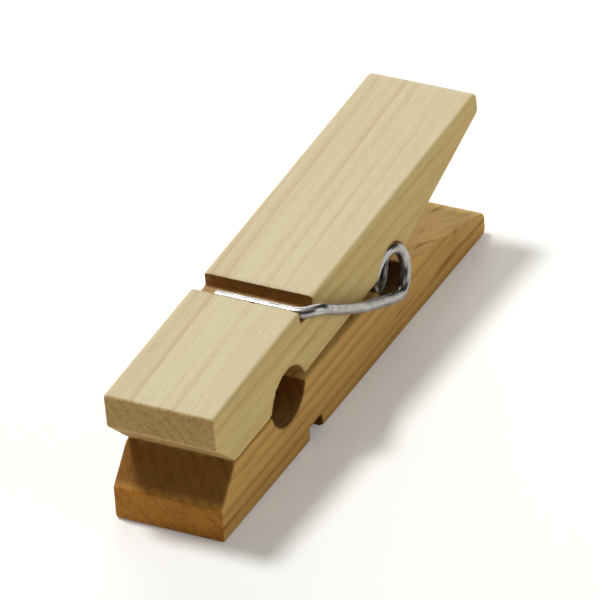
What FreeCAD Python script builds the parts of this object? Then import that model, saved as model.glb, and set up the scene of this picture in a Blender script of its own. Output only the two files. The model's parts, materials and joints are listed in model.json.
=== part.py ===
import FreeCAD, Part
import math
import os

from FreeCAD import Vector

# A spring clothespin: two identical wooden legs, held together by one bent wire.
# Each leg is a straight strip, cut across on its inner side for the clothesline and for
# the coil, and on its outer side for the end of the wire. The coil lies between the legs
# and is the pivot. Both ends of the coil run on as arms, one along each side of the pin,
# and hook into the groove of a leg, so the spring closes the jaws and ties it together.
#
# Millimetres and degrees. X runs from the jaws to the handle tips, Y along the coil and
# Z up. The lower leg lies flat on its outer face. The sizes below are measured from its
# jaw end, and the files have their origin at the centre of that outer face.

# Legs
LEG_LENGTH = 60.0
LEG_WIDTH = 12.0
LEG_THICKNESS = 7.4
EDGE_ROUND = 0.3  # the edges of both sides, and of the blunt jaw end

# Jaws: a blunt end, a bevel that guides the line in, and a land that grips
JAW_END_HEIGHT = 3.7
MOUTH_LENGTH = 3.5
JAW_GAP = 0.02  # between the two lands when the pin is closed

# Round notch for the clothesline, half of it in each leg
LINE_NOTCH_X = 15.2
LINE_NOTCH_RADIUS = 3.7
LINE_NOTCH_DEPTH = 2.75

# Handle: the inner face tapers to a thin tip
TAPER_START = 41.6
TIP_THICKNESS = 2.5
TIP_ROUND = 0.8

# How far the closed legs spread towards the handle tips, from one outer face to the other
REST_SPREAD = 2.6

# Groove across the outer face for the hooked end of the wire
GROOVE_X = 20.4
GROOVE_WIDTH = 2.7
GROOVE_DEPTH = 1.45

# Spring
WIRE_DIAMETER = 1.2
COIL_X = 38.6
COIL_MEAN_RADIUS = 2.35
COIL_WHOLE_TURNS = 7
BENDS_PER_TURN = 4  # the coil is a chain of bends, within 0.002 mm of a true helix
HOOK_BEND_RADIUS = 2.1
ARM_BOW = 1.0  # how far the corner of an arm's bow stands away from straight
ARM_BOW_RADIUS = 70.0
ARM_SET = 0.08  # how far an arm is set out from the last turn of the coil
HOOK_SETBACK = 2.3  # the cut end of the wire stops this short of the leg's far side

# Clearances
SEAT_CLEARANCE = 0.05  # coil in the round seat of a leg
GROOVE_CLEARANCE = 0.04  # wire above the floor of its groove, and beside the wall
ARM_CLEARANCE = 0.5  # arm beside the leg

wire_radius = WIRE_DIAMETER / 2
coil_outer_radius = COIL_MEAN_RADIUS + wire_radius
half_spread = math.radians(REST_SPREAD / 2)
side_y = LEG_WIDTH / 2
arm_y = side_y + ARM_CLEARANCE + wire_radius
across = Vector(0, 1, 0)


def middle_height(x):
    """Height of the plane midway between the legs, which starts where the lands start."""
    return LEG_THICKNESS + JAW_GAP / 2 + (x - MOUTH_LENGTH) * math.tan(half_spread)


coil_center = Vector(COIL_X, 0, middle_height(COIL_X))
middle_direction = Vector(math.cos(half_spread), 0, math.sin(half_spread))


def turned_over(shape):
    """The same shape half a turn about the line midway between the legs."""
    copy = shape.copy()
    copy.rotate(coil_center, middle_direction, 180)
    return copy


# Wooden legs


def cylinder_across(radius, x, z):
    """A cutter as long as two widths of the leg, along Y."""
    return Part.makeCylinder(radius, 2 * LEG_WIDTH, Vector(x, -LEG_WIDTH, z), across)


def edges_across(shape, x, z):
    """The edges of an extruded outline that stand on one of its corners."""
    corner = Vector(x, 0, z)
    return [
        edge
        for edge in shape.Edges
        if all(corner.distanceToPoint(Vector(v.X, 0, v.Z)) < 1e-6 for v in edge.Vertexes)
    ]


def side_edges(shape):
    """The edges that run round the two flat sides."""
    sides = [face for face in shape.Faces if abs(face.normalAt(0, 0).y) > 0.999]
    return [edge for side in sides for edge in side.Edges]


def blank():
    """The planed strip: its side outline, as wide as the leg."""
    outline = [
        (0, 0),
        (0, JAW_END_HEIGHT),
        (MOUTH_LENGTH, middle_height(MOUTH_LENGTH) - JAW_GAP / 2),
        (LINE_NOTCH_X, middle_height(LINE_NOTCH_X) - JAW_GAP / 2),
        (LINE_NOTCH_X + LINE_NOTCH_DEPTH, LEG_THICKNESS),
        (TAPER_START, LEG_THICKNESS),
        (LEG_LENGTH, TIP_THICKNESS),
        (LEG_LENGTH, 0),
        (0, 0),
    ]
    side = Part.makePolygon([Vector(x, -side_y, z) for x, z in outline])
    return Part.Face(side).extrude(across * LEG_WIDTH)


def leg():
    """One wooden leg, lying on its outer face."""
    wood = blank()
    tips = edges_across(wood, LEG_LENGTH, 0) + edges_across(wood, LEG_LENGTH, TIP_THICKNESS)
    wood = wood.makeFillet(TIP_ROUND, tips)
    jaw_end = edges_across(wood, 0, 0) + edges_across(wood, 0, JAW_END_HEIGHT)
    wood = wood.makeFillet(EDGE_ROUND, jaw_end)
    wood = wood.makeFillet(EDGE_ROUND, side_edges(wood))
    notch_z = LEG_THICKNESS - LINE_NOTCH_DEPTH + LINE_NOTCH_RADIUS
    line_notch = cylinder_across(LINE_NOTCH_RADIUS, LINE_NOTCH_X, notch_z)
    seat_radius = coil_outer_radius + SEAT_CLEARANCE
    coil_seat = cylinder_across(seat_radius, coil_center.x, coil_center.z)
    groove_corner = Vector(GROOVE_X - GROOVE_WIDTH / 2, -LEG_WIDTH, -GROOVE_DEPTH)
    groove = Part.makeBox(GROOVE_WIDTH, 2 * LEG_WIDTH, 2 * GROOVE_DEPTH, groove_corner)
    return wood.cut([line_notch, coil_seat, groove])


# Wire spring


def half_angle(before, corner, after):
    """Half the angle between the two straights that meet in a corner of the wire."""
    return (before - corner).getAngle(after - corner) / 2


def bend(before, corner, after, radius):
    """The arc that rounds one corner of the wire."""
    half = half_angle(before, corner, after)
    reach = radius / math.tan(half)
    back = (before - corner).normalize()
    ahead = (after - corner).normalize()
    inward = (back + ahead).normalize()
    middle = corner + inward * (radius / math.sin(half) - radius)
    return Part.Arc(corner + back * reach, middle, corner + ahead * reach).toShape()


def bent_wire(corners, radii):
    """The wire's centre line: straight between its corners, with a bend at each inner one."""
    arcs = [bend(*corners[i : i + 3], radii[i]) for i in range(len(radii))]
    edges = []
    start = corners[0]
    for arc in arcs:
        arc_start, arc_end = [v.Point for v in arc.Vertexes]
        if start.distanceToPoint(arc_start) > 1e-6:
            edges.append(Part.makeLine(start, arc_start))
        edges.append(arc)
        start = arc_end
    edges.append(Part.makeLine(start, corners[-1]))
    return Part.Wire(edges)


def hook_corners():
    """The hook of the lower arm, from the cut end in the groove to the start of the arm."""
    x = GROOVE_X - GROOVE_WIDTH / 2 + GROOVE_CLEARANCE + wire_radius
    z = GROOVE_DEPTH - GROOVE_CLEARANCE - wire_radius
    # the first bend is half a right angle, and the second turns at most 60 degrees
    between = HOOK_BEND_RADIUS * (math.tan(math.radians(22.5)) + math.tan(math.radians(30)))
    step = between * math.sin(math.radians(45))
    cut_end = Vector(x, HOOK_SETBACK - side_y, z)
    leaves_groove = Vector(x, arm_y - step, z)
    beside_leg = Vector(x + step, arm_y, z)
    return [cut_end, leaves_groove, beside_leg]


def bow_corner(hook_end):
    """Halfway along the lower arm, where it stands out most from straight."""
    top = Vector(coil_center.x, arm_y, coil_center.z + COIL_MEAN_RADIUS)
    chord = top - hook_end
    outward = Vector(-chord.z, 0, chord.x).normalize()
    return hook_end + chord * 0.5 + outward * ARM_BOW


def angle_on_coil(point):
    """Where a straight wire from a point touches the top of the coil, as an angle from X."""
    offset = Vector(point.x - coil_center.x, 0, point.z - coil_center.z)
    bearing = math.atan2(offset.z, offset.x) % (2 * math.pi)
    return bearing - math.acos(COIL_MEAN_RADIUS / offset.Length)


def around_coil(radius, angle, y):
    """A point round the coil's axis."""
    radial = Vector(math.cos(angle), 0, math.sin(angle))
    return coil_center + radial * radius + across * y


def coil_corners(end_angle, end_y):
    """Corners outside the coil, evenly spaced from one arm to the other. A bend at each one,
    from the middle of one straight to the middle of the next, leaves no straight between."""
    whole_angle = 2 * math.pi * COIL_WHOLE_TURNS + 2 * (end_angle - half_spread)
    count = round(BENDS_PER_TURN * whole_angle / (2 * math.pi))
    turn = whole_angle / count
    step = 2 * end_y / count
    radius = COIL_MEAN_RADIUS / math.cos(turn / 2)
    places = [i + 0.5 for i in range(count)]
    return [around_coil(radius, end_angle - i * turn, end_y - i * step) for i in places]


def torsion_spring():
    """One wire: hook, arm, coil, arm, hook."""
    arm = hook_corners()
    arm.append(bow_corner(arm[-1]))
    end_angle = angle_on_coil(arm[-1])
    end_y = arm_y - ARM_SET
    coil = coil_corners(end_angle, end_y)
    coil_end = around_coil(COIL_MEAN_RADIUS, end_angle, end_y)
    # the last turn runs on past its end until it lies in the plane of the arm
    leaving = coil_end - coil[0]
    beyond = leaving * (ARM_SET / leaving.y)
    arm.append(coil_end + beyond)
    set_radius = beyond.Length * math.tan(half_angle(arm[-2], arm[-1], coil[0]))
    coil_bend_radius = leaving.Length * math.tan(half_angle(*coil[:3]))
    arm_radii = [HOOK_BEND_RADIUS, HOOK_BEND_RADIUS, ARM_BOW_RADIUS, set_radius]
    corners = arm + coil + [turned_over(Part.Vertex(p)).Point for p in reversed(arm)]
    radii = arm_radii + [coil_bend_radius] * len(coil) + arm_radii[::-1]
    section = Part.Wire(Part.makeCircle(wire_radius, corners[0], across))
    return bent_wire(corners, radii).makePipeShell([section], True, False)


def main():
    os.makedirs("parts", exist_ok=True)
    lower_leg = leg()
    nodes = {
        "lower_leg": lower_leg,
        "upper_leg": turned_over(lower_leg),
        "torsion_spring": torsion_spring(),
    }
    for name, shape in nodes.items():
        shape.translate(Vector(-LEG_LENGTH / 2, 0, 0))
        shape.exportStep(f"parts/{name}.step")
        print(f"{name}: {shape.Volume:.1f} cubic mm")


main()
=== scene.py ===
import json
import math

import bpy
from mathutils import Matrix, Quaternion, Vector, kdtree


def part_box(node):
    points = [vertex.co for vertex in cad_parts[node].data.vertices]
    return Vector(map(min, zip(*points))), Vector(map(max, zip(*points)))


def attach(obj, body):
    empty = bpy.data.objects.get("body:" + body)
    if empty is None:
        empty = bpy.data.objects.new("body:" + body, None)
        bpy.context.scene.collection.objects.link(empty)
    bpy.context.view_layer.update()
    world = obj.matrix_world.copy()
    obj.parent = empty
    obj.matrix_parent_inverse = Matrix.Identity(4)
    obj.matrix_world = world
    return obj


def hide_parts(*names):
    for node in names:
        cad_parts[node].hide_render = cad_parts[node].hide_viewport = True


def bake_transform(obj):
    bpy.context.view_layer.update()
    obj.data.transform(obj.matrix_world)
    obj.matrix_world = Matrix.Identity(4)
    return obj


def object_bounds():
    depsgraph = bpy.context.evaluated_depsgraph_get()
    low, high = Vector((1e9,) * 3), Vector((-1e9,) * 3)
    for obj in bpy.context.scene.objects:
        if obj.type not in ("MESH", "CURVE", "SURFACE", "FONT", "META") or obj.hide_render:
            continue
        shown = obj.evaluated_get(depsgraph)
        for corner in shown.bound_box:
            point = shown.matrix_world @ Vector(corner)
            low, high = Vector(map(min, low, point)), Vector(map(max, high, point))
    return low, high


# A wooden spring clothespin: two planed legs and the wire spring that holds them together.
# The legs are the imported solids, divided finely and worn along their cut edges. The spring is
# bent anew along the imported wire's corners, in three pieces: an arm for each leg, and the coil
# between them.
#
# X runs from the jaws to the handle tips, Y along the coil and Z up. The lower leg lies on the
# floor, with the origin at the middle of its outer face.

MM = 0.001

# Lower leg, with its cuts across the grain
REST_SPREAD = math.radians(2.6)  # from one outer face to the other, with the jaws shut
LINE_NOTCH_X = -14.8 * MM
LINE_NOTCH_Z = 8.35 * MM
LINE_NOTCH_RADIUS = 3.7 * MM
COIL_SEAT_RADIUS = 3.0 * MM
GROOVE_X = -9.6 * MM
GROOVE_WIDTH = 2.7 * MM
GROOVE_DEPTH = 1.45 * MM
CUT_SLACK = 0.08 * MM  # half a face, as the divided skin follows a cut no closer

# How a leg is divided and worn
LEG_FACE_SIZE = 0.165 * MM  # keeps a leg under 200,000 triangles
EDGE_ANGLE = math.radians(28)  # two faces that meet at less than this have no edge between them
EDGE_POINT_STEP = 0.15 * MM
EDGE_REACH = 0.7 * MM  # how far from an edge the wood is worn

# Wire, as it was bent
WIRE_RADIUS = 0.6 * MM
WIRE_SIDES = 24
WIRE_CHAMFER = 0.1 * MM  # round the cut ends, because the cutter breaks their rim
BEND_STEP = 7  # degrees of a bend from one ring of the wire's skin to the next
SAME_PLACE = 0.002 * MM  # bends that end and start this close have no straight between them
COIL_RADIUS = 2.35 * MM  # from the coil's axis to the middle of the wire
COIL_WHOLE_TURNS = 7
BENDS_PER_TURN = 4
HOOK_BEND_RADIUS = 2.1 * MM
HOOK_SETBACK = 2.3 * MM  # the cut end stops this short of the leg's far side
GROOVE_CLEARANCE = 0.04 * MM  # between the wire and the wall of its groove
ARM_BOW = 1.0 * MM  # how far the corner of an arm's bow stands away from straight
ARM_BOW_RADIUS = 70 * MM
ARM_SET = 0.08 * MM  # how far an arm is set out from the last turn of the coil

# Wood and paper
WAVE_REPEAT = 0.314  # a wave texture with a scale of 1 repeats after so many of its units
RING_SPACING = 1.15  # millimetres, which are the units of the grain
BLADE_SPACING = 0.8 * MM
SAWN_END_X = 29.8 * MM  # past this a leg's skin is its sawn end
MILLED_AND_SHADED_X = 29.3 * MM  # short of this it is not
PAPER_GLOW = 0.18  # how much lighter the paper is seen than the lamps make it
PAPER_NEAR = 60 * MM  # from the pin, where the paper starts to be seen as plain white
PAPER_FAR = 130 * MM

# Camera and floor, in metres and degrees
CAMERA_DISTANCE = 0.693
CAMERA_LENS = 416
CAMERA_AZIMUTH = -61.4
CAMERA_ELEVATION = 33.0
CAMERA_ROLL = -4.1
FLOOR_RADIUS = 4
FLOOR_Z = -0.02 * MM

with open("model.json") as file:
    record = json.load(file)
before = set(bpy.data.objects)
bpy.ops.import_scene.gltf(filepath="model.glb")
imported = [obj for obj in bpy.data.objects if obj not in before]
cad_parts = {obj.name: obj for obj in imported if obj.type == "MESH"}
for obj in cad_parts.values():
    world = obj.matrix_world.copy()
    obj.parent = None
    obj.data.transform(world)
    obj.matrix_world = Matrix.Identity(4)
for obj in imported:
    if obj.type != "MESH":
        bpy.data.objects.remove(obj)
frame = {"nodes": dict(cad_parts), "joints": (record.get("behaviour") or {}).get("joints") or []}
cad_low, cad_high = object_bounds()
hinge = Vector(frame["joints"][0]["pos_m"])
leg_low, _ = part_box("lower_leg")
wire_low, wire_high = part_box("torsion_spring")
half_spread = REST_SPREAD / 2
middle_direction = Vector((math.cos(half_spread), 0, math.sin(half_spread)))
half_turn = Quaternion(middle_direction, math.pi)
arm_y = wire_high.y - WIRE_RADIUS


def only(*objects):
    """Selects these objects and no others. The first one becomes the active one."""
    bpy.ops.object.select_all(action="DESELECT")
    for obj in objects:
        obj.select_set(True)
    bpy.context.view_layer.objects.active = objects[0]


def apply(obj, kind, **settings):
    """Adds a modifier and applies it."""
    modifier = obj.modifiers.new(kind.lower(), kind)
    for name, value in settings.items():
        setattr(modifier, name, value)
    only(obj)
    bpy.ops.object.modifier_apply(modifier=modifier.name)


def turned_over(point):
    """A point of one half of the pin, taken to the other half."""
    return hinge + half_turn @ (point - hinge)


# Wooden legs


def divided_leg():
    """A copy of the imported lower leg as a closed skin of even, small faces."""
    leg = bpy.data.objects.new("lower_wood", frame["nodes"]["lower_leg"].data.copy())
    bpy.context.scene.collection.objects.link(leg)
    only(leg)
    bpy.ops.mesh.customdata_custom_splitnormals_clear()
    bpy.ops.object.mode_set(mode="EDIT")
    bpy.ops.mesh.select_all(action="SELECT")
    bpy.ops.mesh.remove_doubles(threshold=0.001 * MM)
    bpy.ops.object.mode_set(mode="OBJECT")
    points = points_on_edges(leg)
    apply(leg, "REMESH", mode="VOXEL", voxel_size=LEG_FACE_SIZE)
    mark_edges(leg, points)
    mark_cuts(leg)
    bpy.ops.object.shade_smooth()
    return leg


def points_on_edges(leg):
    """Points close together along the edges where two cuts meet."""
    faces = {}
    for face in leg.data.polygons:
        for key in face.edge_keys:
            faces.setdefault(key, []).append(face.normal)
    points = []
    for (a, b), normals in faces.items():
        if normals[0].angle(normals[1]) > EDGE_ANGLE:
            start = leg.data.vertices[a].co
            end = leg.data.vertices[b].co
            steps = math.ceil((end - start).length / EDGE_POINT_STEP)
            points += [start.lerp(end, i / steps) for i in range(steps + 1)]
    return points


def mark_edges(leg, points):
    """Gives each vertex its nearness to a cut edge, 1 on it and 0 out of its reach, as an
    attribute for the wood and, squared, as a group for the wear."""
    tree = kdtree.KDTree(len(points))
    for i, point in enumerate(points):
        tree.insert(point, i)
    tree.balance()
    nearness = [max(0, 1 - tree.find(v.co)[2] / EDGE_REACH) for v in leg.data.vertices]
    attribute = leg.data.attributes.new("cut_edge", "FLOAT", "POINT")
    attribute.data.foreach_set("value", nearness)
    group = leg.vertex_groups.new(name="cut_edge")
    for i, value in enumerate(nearness):
        if value > 0:
            group.add([i], value * value, "REPLACE")


def mark_cuts(leg):
    """Gives each vertex 1 where a cutter went across the grain, in the notch for the line, the
    coil's seat and the groove, and 0 elsewhere. The wood there is coloured darker, partly as
    painted shade in these hollows."""
    notch_radius = LINE_NOTCH_RADIUS + CUT_SLACK
    seat_radius = COIL_SEAT_RADIUS + CUT_SLACK
    groove_half = GROOVE_WIDTH / 2 + CUT_SLACK
    groove_top = GROOVE_DEPTH + CUT_SLACK
    marks = []
    for vertex in leg.data.vertices:
        x, _, z = vertex.co
        in_notch = math.hypot(x - LINE_NOTCH_X, z - LINE_NOTCH_Z) < notch_radius
        in_seat = math.hypot(x - hinge.x, z - hinge.z) < seat_radius
        in_groove = abs(x - GROOVE_X) < groove_half and z < groove_top
        marks.append(float(in_notch or in_seat or in_groove))
    attribute = leg.data.attributes.new("milled_and_shaded", "FLOAT", "POINT")
    attribute.data.foreach_set("value", marks)


def wear(leg, name, size, stretch, depth, sharpness, amount):
    """Takes wood off along the cut edges, in hollows that are longer along the grain. An
    amount of 0.5 wears half of an edge, and 1 nearly all of it."""
    grain = bpy.data.objects.new(name, None)
    grain.scale = (stretch, 1, 1)
    bpy.context.scene.collection.objects.link(grain)
    bpy.context.view_layer.update()
    hollows = bpy.data.textures.new(name, "CLOUDS")
    hollows.noise_scale = size
    hollows.noise_depth = 3
    hollows.contrast = sharpness
    hollows.intensity = amount
    hollows.use_clamp = True
    apply(
        leg,
        "DISPLACE",
        texture=hollows,
        texture_coords="OBJECT",
        texture_coords_object=grain,
        vertex_group="cut_edge",
        direction="NORMAL",
        strength=-depth,
        mid_level=0,
    )
    bpy.data.objects.remove(grain)


lower_leg = divided_leg()
upper_leg = lower_leg.copy()
upper_leg.data = lower_leg.data.copy()
upper_leg.name = "upper_wood"
bpy.context.scene.collection.objects.link(upper_leg)
for vertex in upper_leg.data.vertices:
    vertex.co = turned_over(vertex.co)
for leg in (lower_leg, upper_leg):
    wear(leg, "torn fibres", size=0.3 * MM, stretch=5, depth=0.07 * MM, sharpness=1.5, amount=1.0)
    wear(leg, "chips", size=0.8 * MM, stretch=3, depth=0.15 * MM, sharpness=5, amount=0.25)

# Wire spring


def wire_bends(corners, radii):
    """For each inner corner of the wire: start, end, centre, axis and angle of its bend."""
    found = []
    for i, radius in enumerate(radii):
        before, corner, after = corners[i : i + 3]
        back = (before - corner).normalized()
        ahead = (after - corner).normalized()
        angle = math.pi - back.angle(ahead)
        reach = radius * math.tan(angle / 2)
        centre = corner + (back + ahead).normalized() * radius / math.cos(angle / 2)
        axis = ahead.cross(back).normalized()
        found.append((corner + back * reach, corner + ahead * reach, centre, axis, angle))
    return found


def bent_wire(name, corners, radii, chamfer=0):
    """A round wire as a bender makes it: run straight on, then bend, from end to end. The
    chamfer is for a first end that shows."""
    ahead = (corners[1] - corners[0]).normalized()
    bpy.ops.object.select_all(action="DESELECT")
    bpy.ops.mesh.primitive_circle_add(
        vertices=WIRE_SIDES,
        radius=WIRE_RADIUS - chamfer,
        fill_type="NGON",
        location=corners[0],
        rotation=ahead.to_track_quat("Z", "Y").to_euler(),
    )
    wire = bpy.context.object
    wire.name = name
    bpy.ops.object.transform_apply(location=True, rotation=True, scale=True)
    bpy.ops.object.mode_set(mode="EDIT")
    bpy.ops.mesh.select_all(action="SELECT")
    place = corners[0]
    if chamfer:
        place = place + ahead * chamfer
        bpy.ops.mesh.extrude_region_move(TRANSFORM_OT_translate={"value": ahead * chamfer})
        full = WIRE_RADIUS / (WIRE_RADIUS - chamfer)
        bpy.ops.transform.resize(value=(full, full, full), center_override=place)
    for start, end, centre, axis, angle in wire_bends(corners, radii):
        if (start - place).length > SAME_PLACE:
            bpy.ops.mesh.extrude_region_move(TRANSFORM_OT_translate={"value": start - place})
        steps = max(2, math.ceil(math.degrees(angle) / BEND_STEP))
        bpy.ops.mesh.spin(steps=steps, angle=-angle, center=centre, axis=axis)
        place = end
    if (corners[-1] - place).length > SAME_PLACE:
        bpy.ops.mesh.extrude_region_move(TRANSFORM_OT_translate={"value": corners[-1] - place})
    bpy.ops.mesh.select_all(action="SELECT")
    bpy.ops.mesh.normals_make_consistent(inside=False)
    bpy.ops.object.mode_set(mode="OBJECT")
    bpy.ops.object.shade_smooth_by_angle(angle=math.radians(40))
    mark_length(wire)
    return wire


def mark_length(wire):
    """Gives each vertex its place on the wire: how far along it lies, and where round it."""
    vertices = list(wire.data.vertices)
    rings = [vertices[i : i + WIRE_SIDES] for i in range(0, len(vertices), WIRE_SIDES)]
    middles = [sum((v.co for v in ring), Vector()) / WIRE_SIDES for ring in rings]
    length = 0
    places = []
    for before, middle in zip(middles[:1] + middles, middles):
        length += (middle - before).length
        for i in range(WIRE_SIDES):
            turn = 2 * math.pi * i / WIRE_SIDES
            places += [length, WIRE_RADIUS * math.cos(turn), WIRE_RADIUS * math.sin(turn)]
    attribute = wire.data.attributes.new("along_wire", "FLOAT_VECTOR", "POINT")
    attribute.data.foreach_set("vector", places)


def around_coil(radius, angle, y):
    """A point round the coil's axis."""
    return hinge + Vector((radius * math.cos(angle), y, radius * math.sin(angle)))


def hook_corners():
    """The hook of the lower arm, from the cut end in the groove to the start of the arm."""
    x = GROOVE_X - GROOVE_WIDTH / 2 + GROOVE_CLEARANCE + WIRE_RADIUS
    z = wire_low.z + WIRE_RADIUS
    # the first bend is half a right angle, and the second turns at most 60 degrees
    between = HOOK_BEND_RADIUS * (math.tan(math.radians(22.5)) + math.tan(math.radians(30)))
    step = between * math.sin(math.radians(45))
    cut_end = Vector((x, leg_low.y + HOOK_SETBACK, z))
    leaves_groove = Vector((x, arm_y - step, z))
    beside_leg = Vector((x + step, arm_y, z))
    return [cut_end, leaves_groove, beside_leg]


def bow_corner(hook_end):
    """Halfway along the lower arm, where it stands out most from straight."""
    chord = Vector((hinge.x, arm_y, hinge.z + COIL_RADIUS)) - hook_end
    outward = Vector((-chord.z, 0, chord.x)).normalized()
    return hook_end + chord / 2 + outward * ARM_BOW


def angle_on_coil(point):
    """Where a straight wire from a point touches the top of the coil, as an angle from X."""
    offset = point - hinge
    reach = math.hypot(offset.x, offset.z)
    return math.atan2(offset.z, offset.x) - math.acos(COIL_RADIUS / reach)


def coil_corners(end_angle, end_y):
    """The coil's two ends, with evenly spaced corners outside it in between. A bend at each of
    these leaves no straight between them."""
    whole_angle = 2 * math.pi * COIL_WHOLE_TURNS + 2 * (end_angle - half_spread)
    count = round(BENDS_PER_TURN * whole_angle / (2 * math.pi))
    turn = whole_angle / count
    step = 2 * end_y / count
    radius = COIL_RADIUS / math.cos(turn / 2)
    places = [i + 0.5 for i in range(count)]
    bends = [around_coil(radius, end_angle - i * turn, end_y - i * step) for i in places]
    start = around_coil(COIL_RADIUS, end_angle, end_y)
    return [start] + bends + [turned_over(start)]


hook = hook_corners()
bow = bow_corner(hook[-1])
along_coil = coil_corners(angle_on_coil(bow), arm_y - ARM_SET)
coil_start, first_bend, second_bend = along_coil[:3]
leaving = coil_start - first_bend
coil_bend_radius = leaving.length * math.tan(leaving.angle(second_bend - first_bend) / 2)
coil = bent_wire("coil", along_coil, [coil_bend_radius] * (len(along_coil) - 2))

# the last turn runs on past its end until it lies in the plane of the arm
beyond = leaving * (ARM_SET / leaving.y)
set_corner = coil_start + beyond
set_radius = beyond.length * math.tan((bow - set_corner).angle(-beyond) / 2)
arm_corners = hook + [bow, set_corner, coil_start]
arm_radii = [HOOK_BEND_RADIUS, HOOK_BEND_RADIUS, ARM_BOW_RADIUS, set_radius]
upper_arm_corners = [turned_over(corner) for corner in arm_corners]
lower_arm = bent_wire("lower_arm", arm_corners, arm_radii, WIRE_CHAMFER)
upper_arm = bent_wire("upper_arm", upper_arm_corners, arm_radii, WIRE_CHAMFER)

# Materials


def linear(colour):
    """An sRGB hex colour as linear RGBA."""
    parts = [int(colour[i : i + 2], 16) / 255 for i in (1, 3, 5)]
    return [c / 12.92 if c <= 0.04045 else ((c + 0.055) / 1.055) ** 2.4 for c in parts] + [1]


def add(tree, kind, inputs=(), **settings):
    """Adds a node with its settings. Its inputs get their values, or links from other nodes."""
    made = tree.nodes.new("ShaderNode" + kind)
    for name, value in settings.items():
        setattr(made, name, value)
    for name, value in dict(inputs).items():
        if isinstance(value, bpy.types.Node):
            value = value.outputs[0]
        if isinstance(value, bpy.types.NodeSocket):
            tree.links.new(value, made.inputs[name])
        else:
            made.inputs[name].default_value = value
    return made


def new_material(name):
    """An empty material, its node tree and its shader."""
    material = bpy.data.materials.new(name)
    material.use_nodes = True
    return material, material.node_tree, material.node_tree.nodes["Principled BSDF"]


def late_share(tree, grain, fibres, ring_strength):
    """How much of the wood is late wood, from 0 to 1, by its growth rings and its fibres."""
    rings = add(
        tree,
        "TexWave",
        {
            "Vector": grain,
            "Scale": WAVE_REPEAT / RING_SPACING,
            "Distortion": 2.4,
            "Detail": 3,
            "Detail Scale": 0.35,
            "Detail Roughness": 0.6,
        },
        wave_type="RINGS",
        rings_direction="X",
        wave_profile="SAW",
    )
    lines = add(
        tree,
        "MapRange",
        {"Value": rings.outputs["Fac"], "From Min": 0.35, "From Max": 0.95},
        interpolation_type="SMOOTHSTEP",
    )
    # some years leave a strong line and some hardly any
    years = add(tree, "TexNoise", {"Vector": grain, "Scale": 0.55, "Detail": 1})
    strong = add(
        tree,
        "MapRange",
        {"Value": years, "From Min": 0.35, "From Max": 0.65, "To Max": ring_strength},
    )
    drift = add(tree, "TexNoise", {"Vector": grain, "Scale": 0.32, "Detail": 3, "Roughness": 0.55})
    from_fibres = add(tree, "Math", {0: fibres, 1: 0.8, 2: -0.4}, operation="MULTIPLY_ADD")
    with_lines = add(tree, "Math", {0: lines, 1: strong, 2: from_fibres}, operation="MULTIPLY_ADD")
    with_drift = add(tree, "Math", {0: drift, 1: 0.9, 2: with_lines}, operation="MULTIPLY_ADD")
    return add(tree, "Math", {0: with_drift, 1: 0.3}, operation="SUBTRACT", use_clamp=True)


def rusty_flecks(tree, grain, across, rust_from):
    """Rust-coloured flecks along the grain. Few of them show where it is cut across."""
    flame = add(
        tree,
        "TexNoise",
        {"Vector": grain, "Scale": 0.9, "Detail": 5, "Roughness": 0.62, "Distortion": 0.4},
    )
    flecks = add(
        tree, "MapRange", {"Value": flame, "From Min": rust_from, "From Max": rust_from + 0.1}
    )
    shown = add(tree, "MapRange", {"Value": across, "To Min": 1, "To Max": 0.3})
    return add(tree, "Math", {0: flecks, 1: shown}, operation="MULTIPLY")


def end_specks(tree, place, vessels):
    """The open ends of the vessels, and bruised ends of fibres in patches 0.5 mm across."""
    dots = add(
        tree, "MapRange", {"Value": vessels, "From Min": 0.5, "From Max": 0.66, "To Max": 0.4}
    )
    bruises = add(
        tree,
        "TexNoise",
        {"Vector": place.outputs["Object"], "Scale": 1 / (0.5 * MM), "Detail": 3, "Roughness": 0.6},
    )
    patches = add(
        tree, "MapRange", {"Value": bruises, "From Min": 0.5, "From Max": 0.68, "To Max": 0.45}
    )
    return add(tree, "Math", {0: dots, 1: patches}, operation="MAXIMUM")


def milled_and_shaded(tree, place, across):
    """Where a cutter went: in the mouth, the notch, the seat and the groove, and not on the two
    sawn ends of the leg. The wood is darkened there, partly as the cutter's polish and partly as
    painted shade in these hollows."""
    spot = add(tree, "SeparateXYZ", {"Vector": place.outputs["Object"]})
    from_middle = add(tree, "Math", {0: spot.outputs["X"]}, operation="ABSOLUTE")
    not_an_end = add(
        tree, "MapRange", {"Value": from_middle, "From Min": SAWN_END_X, "From Max": MILLED_AND_SHADED_X}
    )
    sloped = add(tree, "Math", {0: across, 1: not_an_end}, operation="MULTIPLY")
    cuts = add(tree, "Attribute", attribute_name="milled_and_shaded")
    return add(tree, "Math", {0: sloped, 1: cuts.outputs["Fac"]}, operation="MAXIMUM")


def wood_relief(tree, place, fibres, pits, side):
    """The surface's relief: raised fibres, open vessels and the ripples that a blade leaves,
    which are deeper on the sawn sides. Heights are in millimetres."""
    raised = add(tree, "Math", {0: fibres, 1: 0.016}, operation="MULTIPLY")
    pitted = add(tree, "Math", {0: pits, 1: -0.03, 2: raised}, operation="MULTIPLY_ADD")
    blade = add(
        tree,
        "TexWave",
        {
            "Vector": place.outputs["Object"],
            "Scale": WAVE_REPEAT / BLADE_SPACING,
            "Distortion": 2.5,
            "Detail": 2,
            "Detail Scale": 0.4,
        },
        bands_direction="X",
    )
    ripple = add(tree, "MapRange", {"Value": side, "To Min": 0.003, "To Max": 0.010})
    height = add(
        tree,
        "Math",
        {0: blade.outputs["Fac"], 1: ripple, 2: pitted},
        operation="MULTIPLY_ADD",
    )
    return add(tree, "Bump", {"Height": height, "Distance": 1 * MM, "Strength": 1.0})


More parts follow.
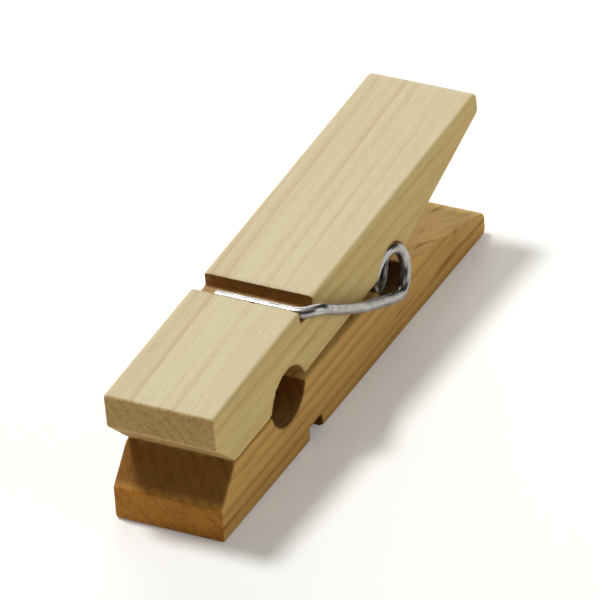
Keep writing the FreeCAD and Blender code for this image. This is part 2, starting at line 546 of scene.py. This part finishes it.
def planed_birch(
    name, heart, lean, ring_strength, early, late, rust, rust_from, sawn_and_shade_tint, end_grain, burnish_and_shade
):
    """Bare planed birch. Pale early wood and thin, darker late wood give close straight lines, and
    the vessels short fine dashes. Where it is cut across it is darker, and shows dots; in the mouth
    and the cutter's hollows it is darker still, partly as painted shade. Its sides are tinted
    deeper, partly as painted shade.
    Heart is where the middle of the tree lay, and lean is how its grain is turned."""
    material, tree, shader = new_material(name)
    place = add(tree, "TexCoord")
    # one unit is 1 mm across the grain and 25 mm along it
    grain = add(
        tree,
        "Mapping",
        {
            "Vector": place.outputs["Object"],
            "Location": heart,
            "Rotation": lean,
            "Scale": (25 * MM, 1 * MM, 1 * MM),
        },
        vector_type="TEXTURE",
    )
    fibres = add(tree, "TexNoise", {"Vector": grain, "Scale": 2.6, "Detail": 6, "Roughness": 0.7})
    # vessels are 0.05 to 0.1 mm wide and 1 to 3 mm long, and drawn 0.15 mm wide to show
    closer = add(tree, "Mapping", {"Vector": grain, "Scale": (1.8, 1, 1)})
    vessels = add(tree, "TexNoise", {"Vector": closer, "Scale": 7, "Detail": 1.5})
    facing = add(tree, "SeparateXYZ", {"Vector": place.outputs["Normal"]})
    # a face that looks along the grain has been cut across it
    along = add(tree, "Math", {0: facing.outputs["X"]}, operation="ABSOLUTE")
    across = add(tree, "MapRange", {"Value": along, "From Min": 0.3, "From Max": 0.85})
    side = add(tree, "Math", {0: facing.outputs["Y"]}, operation="ABSOLUTE")

    share = late_share(tree, grain, fibres, ring_strength)
    wood = add(
        tree, "Mix", {"Factor": share, 6: linear(early), 7: linear(late)}, data_type="RGBA"
    )
    flecks = rusty_flecks(tree, grain, across, rust_from)
    with_flecks = add(
        tree, "Mix", {"Factor": flecks, 6: wood.outputs[2], 7: linear(rust)}, data_type="RGBA"
    )
    # the sides are tinted deeper and yellower: partly the own colour of sawn, unplaned wood, and
    # partly painted shade, the yellowing that shaded sides show
    sawn = add(
        tree,
        "Mix",
        {"Factor": side, 6: with_flecks.outputs[2], 7: linear(sawn_and_shade_tint)},
        data_type="RGBA",
        blend_type="MULTIPLY",
    )
    with_ends = add(
        tree,
        "Mix",
        {"Factor": across, 6: sawn.outputs[2], 7: linear(end_grain)},
        data_type="RGBA",
        blend_type="MULTIPLY",
    )
    # the cutter's faces and hollows are darker: partly the wood's own polish from the cutter,
    # partly painted shade in the mouth, notch, seat and groove
    burnished_and_shaded = add(
        tree,
        "Mix",
        {"Factor": milled_and_shaded(tree, place, across), 6: with_ends.outputs[2], 7: linear(burnish_and_shade)},
        data_type="RGBA",
        blend_type="MULTIPLY",
    )
    dashes = add(tree, "MapRange", {"Value": vessels, "From Min": 0.62, "From Max": 0.76})
    specks = end_specks(tree, place, vessels)
    dotted = add(tree, "Math", {0: across, 1: specks}, operation="MULTIPLY")
    pits = add(tree, "Math", {0: dashes, 1: 0.2, 2: dotted}, operation="MULTIPLY_ADD")
    # handling leaves dirt along the worn edges and in the pits
    edge = add(tree, "Attribute", attribute_name="cut_edge")
    worn = add(tree, "Math", {0: edge.outputs["Fac"], 1: fibres}, operation="MULTIPLY")
    dark = add(
        tree, "Math", {0: worn, 1: 0.45, 2: pits}, operation="MULTIPLY_ADD", use_clamp=True
    )
    colour = add(
        tree,
        "Mix",
        {"Factor": dark, 6: burnished_and_shaded.outputs[2], 7: linear("#7A5026")},
        data_type="RGBA",
    )
    tree.links.new(colour.outputs[2], shader.inputs["Base Color"])
    bump = wood_relief(tree, place, fibres, pits, side)
    tree.links.new(bump.outputs[0], shader.inputs["Normal"])
    rough = add(tree, "MapRange", {"Value": fibres, "To Min": 0.7, "To Max": 0.9})
    tree.links.new(rough.outputs[0], shader.inputs["Roughness"])
    shader.inputs["IOR"].default_value = 1.5
    shader.inputs["Specular IOR Level"].default_value = 0.3
    return material


def plated_spring_steel():
    """Bright plated spring wire. It was drawn through a die, so it shines and has faint lines
    along it, and handling has dulled it in patches."""
    material, tree, shader = new_material("plated spring steel")
    place = add(tree, "TexCoord")
    dull = add(
        tree, "TexNoise", {"Vector": place.outputs["Object"], "Scale": 0.9 / MM, "Detail": 4}
    )
    along = add(tree, "Attribute", attribute_name="along_wire")
    # the lines are some 4 mm long, and drawn 0.1 mm apart so that they show
    drawn = add(
        tree,
        "Mapping",
        {"Vector": along.outputs["Vector"], "Scale": (8 * MM, 0.2 * MM, 0.2 * MM)},
        vector_type="TEXTURE",
    )
    lines = add(tree, "TexNoise", {"Vector": drawn, "Scale": 2, "Detail": 3, "Roughness": 0.6})
    both = add(tree, "Math", {0: dull, 1: lines}, operation="ADD")
    shade = add(tree, "MapRange", {"Value": both, "From Min": 0.7, "From Max": 1.3})
    colour = add(
        tree,
        "Mix",
        {"Factor": shade, 6: linear("#878581"), 7: linear("#BDBBB6")},
        data_type="RGBA",
    )
    tree.links.new(colour.outputs[2], shader.inputs["Base Color"])
    rough = add(tree, "MapRange", {"Value": shade, "To Min": 0.36, "To Max": 0.2})
    tree.links.new(rough.outputs[0], shader.inputs["Roughness"])
    shader.inputs["Metallic"].default_value = 1.0
    bump = add(tree, "Bump", {"Height": lines, "Distance": 0.012 * MM, "Strength": 1.0})
    tree.links.new(bump.outputs[0], shader.inputs["Normal"])
    return material


def white_paper():
    """Matt white paper for the floor. Away from the pin it is seen as plain white."""
    material, tree, shader = new_material("white paper")
    shader.inputs["Base Color"].default_value = linear("#F2F2F0")
    shader.inputs["Roughness"].default_value = 0.9
    shader.inputs["Specular IOR Level"].default_value = 0.1
    seen = add(tree, "LightPath")
    direct = add(
        tree,
        "Math",
        {0: seen.outputs["Is Camera Ray"], 1: seen.outputs["Is Glossy Ray"]},
        operation="MAXIMUM",
    )
    any_way = add(
        tree, "Math", {0: direct, 1: seen.outputs["Is Transmission Ray"]}, operation="MAXIMUM"
    )
    level = add(tree, "Math", {0: any_way, 1: PAPER_GLOW}, operation="MULTIPLY")
    glow = add(tree, "Emission", {"Strength": level})
    near = add(tree, "AddShader", {0: shader.outputs[0], 1: glow})
    place = add(tree, "TexCoord")
    distance = add(tree, "VectorMath", {0: place.outputs["Object"]}, operation="LENGTH")
    away = add(
        tree,
        "MapRange",
        {
            "Value": distance.outputs["Value"],
            "From Min": PAPER_NEAR,
            "From Max": PAPER_FAR,
            "To Max": any_way,
        },
        interpolation_type="SMOOTHSTEP",
    )
    white = add(tree, "Emission")
    seen_floor = add(tree, "MixShader", {0: away, 1: near, 2: white})
    tree.links.new(seen_floor.outputs[0], tree.nodes["Material Output"].inputs["Surface"])
    return material


pale_birch = planed_birch(
    "pale planed birch",
    heart=(0, 52 * MM, -30 * MM),
    lean=(0, math.radians(-2.0), math.radians(1.2)),
    ring_strength=0.55,
    early="#DCCFAB",
    late="#C9B285",
    rust="#C29A5C",
    rust_from=0.66,
    sawn_and_shade_tint="#FFF0C4",
    end_grain="#F8DCAE",
    burnish_and_shade="#D6BC9A",
)
warm_birch = planed_birch(
    "warm planed birch",
    heart=(0, -40 * MM, 45 * MM),
    lean=(0, math.radians(0.8), math.radians(-1.5)),
    ring_strength=0.8,
    early="#ECC67B",
    late="#CA9E58",
    rust="#B0752E",
    rust_from=0.58,
    sawn_and_shade_tint="#E9DBC2",
    end_grain="#E4BA70",
    burnish_and_shade="#ACA090",
)
steel = plated_spring_steel()

for pieces, material, slot in (
    ([lower_leg], warm_birch, "leg_wood"),
    ([upper_leg], pale_birch, "leg_wood"),
    ([coil, lower_arm, upper_arm], steel, "spring_wire"),
):
    for piece in pieces:
        piece.data.materials.clear()
        piece.data.materials.append(material)

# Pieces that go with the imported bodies

for arm, leg, body in (
    (lower_arm, lower_leg, "lower_leg"),
    (upper_arm, upper_leg, "upper_leg"),
):
    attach(arm, body)
    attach(leg, body)
    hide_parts(body)
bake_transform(coil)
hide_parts("torsion_spring")

# Camera, floor, lamps and world

centre = (cad_low + cad_high) / 2
azimuth = math.radians(CAMERA_AZIMUTH)
elevation = math.radians(CAMERA_ELEVATION)
back = Vector(
    (
        math.sin(azimuth) * math.cos(elevation),
        -math.cos(azimuth) * math.cos(elevation),
        math.sin(elevation),
    )
)
camera = bpy.data.objects.new("camera", bpy.data.cameras.new("camera"))
camera.data.lens = CAMERA_LENS
camera.data.sensor_width = 36
camera.location = centre + back * CAMERA_DISTANCE
camera.rotation_mode = "QUATERNION"
roll = Quaternion((0, 0, 1), math.radians(CAMERA_ROLL))
camera.rotation_quaternion = (-back).to_track_quat("-Z", "Y") @ roll
bpy.context.scene.collection.objects.link(camera)
bpy.context.scene.camera = camera

bpy.ops.object.select_all(action="DESELECT")
bpy.ops.mesh.primitive_circle_add(
    vertices=96, radius=FLOOR_RADIUS, fill_type="NGON", location=(0, 0, FLOOR_Z)
)
floor = bpy.context.object
floor.name = "floor"
floor.data.materials.append(white_paper())


def soft_box(name, size, power, place):
    """A round soft lamp that looks at the pin."""
    lamp = bpy.data.objects.new(name, bpy.data.lights.new(name, "AREA"))
    lamp.data.shape = "DISK"
    lamp.data.size = size
    lamp.data.energy = power
    lamp.location = place
    lamp.rotation_mode = "QUATERNION"
    lamp.rotation_quaternion = (centre - Vector(place)).to_track_quat("-Z", "Y")
    bpy.context.scene.collection.objects.link(lamp)


soft_box("overhead", size=0.22, power=7.9, place=(0.05, 0.41, 1.0))
soft_box("behind", size=0.7, power=4.0, place=(0.9, 0.5, 0.45))
soft_box("beside", size=0.9, power=2.7, place=(0.2, -1.1, 0.4))

# the room is white at the horizon, where the floor ends, and dim from there to a pale ceiling
world = bpy.data.worlds.new("studio")
world.use_nodes = True
bpy.context.scene.world = world
tree = world.node_tree
view = add(tree, "TexCoord")
height = add(tree, "SeparateXYZ", {"Vector": view.outputs["Generated"]})
level = add(tree, "ValToRGB", {"Fac": height.outputs["Z"]})
ramp = level.color_ramp
ramp.elements[0].position = 0.015
ramp.elements[0].color = (1, 1, 1, 1)
ramp.elements[1].position = 1.0
ramp.elements[1].color = (0.6, 0.58, 0.54, 1)
for position, grey in ((0.04, 0.02), (0.35, 0.02), (0.75, 0.05)):
    ramp.elements.new(position).color = (grey, 0.97 * grey, 0.89 * grey, 1)
tree.links.new(level.outputs[0], tree.nodes["Background"].inputs["Color"])

bpy.context.scene.view_settings.view_transform = "Standard"
